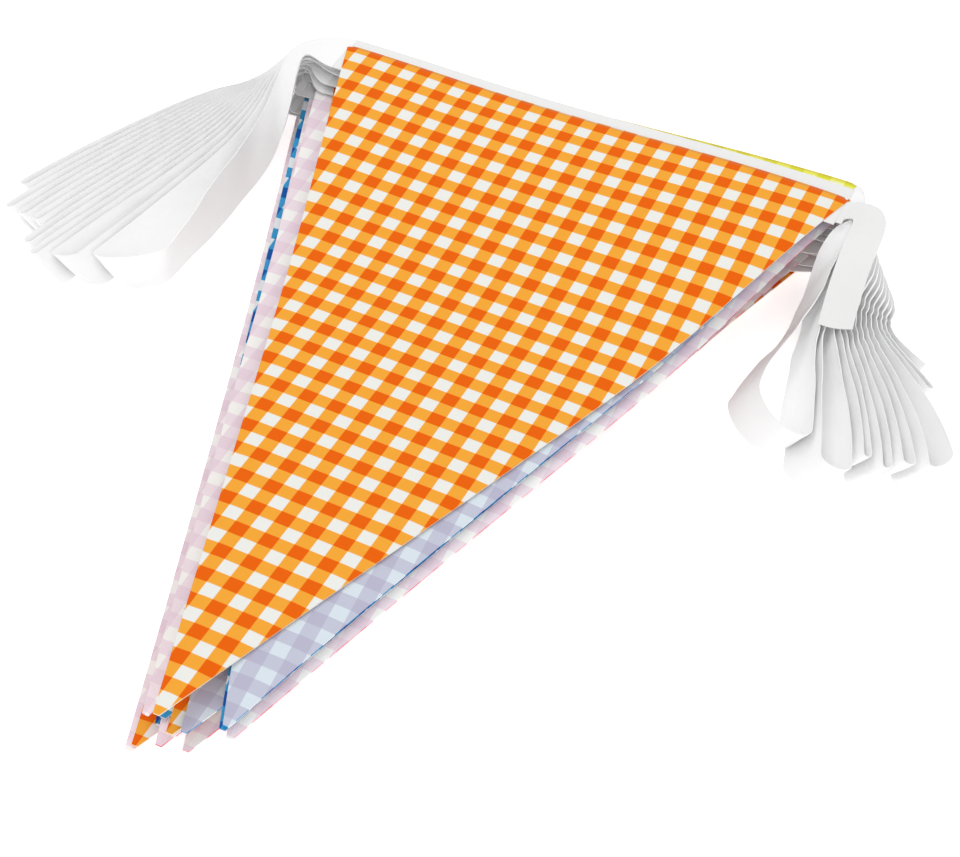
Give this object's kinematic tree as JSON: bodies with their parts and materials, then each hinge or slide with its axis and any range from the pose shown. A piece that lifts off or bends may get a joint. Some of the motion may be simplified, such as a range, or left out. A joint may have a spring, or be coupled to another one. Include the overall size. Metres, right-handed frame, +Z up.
{
  "type": "fabric bunting",
  "caption": "Gingham pennant bunting on a white cotton tape, folded back and forth into a flat pile with bundles of loose tape loops at both sides.",
  "frame": {"origin": "on the flat underside of the lowest pennant, a third of the way down from its heading, where the pile rests", "axes": "+X along the pennants' headings from left to right, +Y from the tips towards the headings, +Z up through the pile"},
  "size_m": [0.3506, 0.3247, 0.036],
  "materials": {
    "orange_gingham": "woven cotton, orange and white checks",
    "blue_gingham": "woven cotton, blue and white checks",
    "red_gingham": "woven cotton, red and white checks, paler on the reverse",
    "yellow_gingham": "woven cotton, yellow and white checks",
    "tape": "thin white cotton tape"
  },
  "bodies": {
    "root": {"flag_01": "orange_gingham", "flag_02": "blue_gingham", "flag_03": "blue_gingham", "flag_04": "red_gingham", "flag_05": "yellow_gingham", "flag_06": "blue_gingham", "flag_07": "orange_gingham", "flag_08": "red_gingham", "flag_09": "blue_gingham", "flag_10": "red_gingham", "flag_11": "blue_gingham", "flag_12": "red_gingham", "flag_13": "orange_gingham", "flag_14": "red_gingham", "flag_15": "orange_gingham", "flag_16": "red_gingham", "tape_end_first": "tape", "tape_end_last": "tape", "tape_loop_01_02": "tape", "tape_loop_02_03": "tape", "tape_loop_03_04": "tape", "tape_loop_04_05": "tape", "tape_loop_05_06": "tape", "tape_loop_06_07": "tape", "tape_loop_07_08": "tape", "tape_loop_08_09": "tape", "tape_loop_09_10": "tape", "tape_loop_10_11": "tape", "tape_loop_11_12": "tape", "tape_loop_12_13": "tape", "tape_loop_13_14": "tape", "tape_loop_14_15": "tape", "tape_loop_15_16": "tape", "tape_run_01": "tape", "tape_run_02": "tape", "tape_run_03": "tape", "tape_run_04": "tape", "tape_run_05": "tape", "tape_run_06": "tape", "tape_run_07": "tape", "tape_run_08": "tape", "tape_run_09": "tape", "tape_run_10": "tape", "tape_run_11": "tape", "tape_run_12": "tape", "tape_run_13": "tape", "tape_run_14": "tape", "tape_run_15": "tape", "tape_run_16": "tape"}
  },
  "joints": []
}
